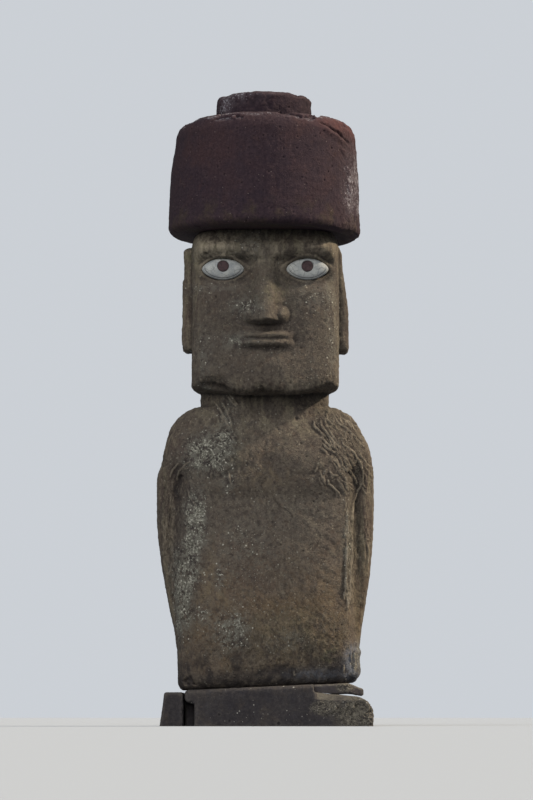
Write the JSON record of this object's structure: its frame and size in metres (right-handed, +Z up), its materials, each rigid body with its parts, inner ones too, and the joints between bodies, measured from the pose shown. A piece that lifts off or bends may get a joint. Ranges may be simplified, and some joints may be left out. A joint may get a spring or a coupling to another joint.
{
  "type": "moai statue with topknot",
  "caption": "Standing carved stone ancestor figure, arms along its sides, with inlaid white eyes and a round red stone topknot with a knob, set on low plinth stones.",
  "frame": {"origin": "middle of the object's overall box, on the ground under the plinth stones", "axes": "+Z up, the face looks along -Y, +X is to the right of someone facing the figure"},
  "size_m": [2.422, 2.1324, 7.0004],
  "materials": {
    "tuff": "matte",
    "scoria": "matte",
    "coral": "matte",
    "iris": "matte",
    "basalt": "matte"
  },
  "bodies": {
    "root": {"figure": "tuff", "topknot": "scoria", "eye_white_left": "coral", "eye_white_right": "coral", "eye_pupil_left": "iris", "eye_pupil_right": "iris", "plinth_slab": "basalt", "plinth_block": "basalt", "wedge_stone": "basalt"}
  },
  "joints": []
}
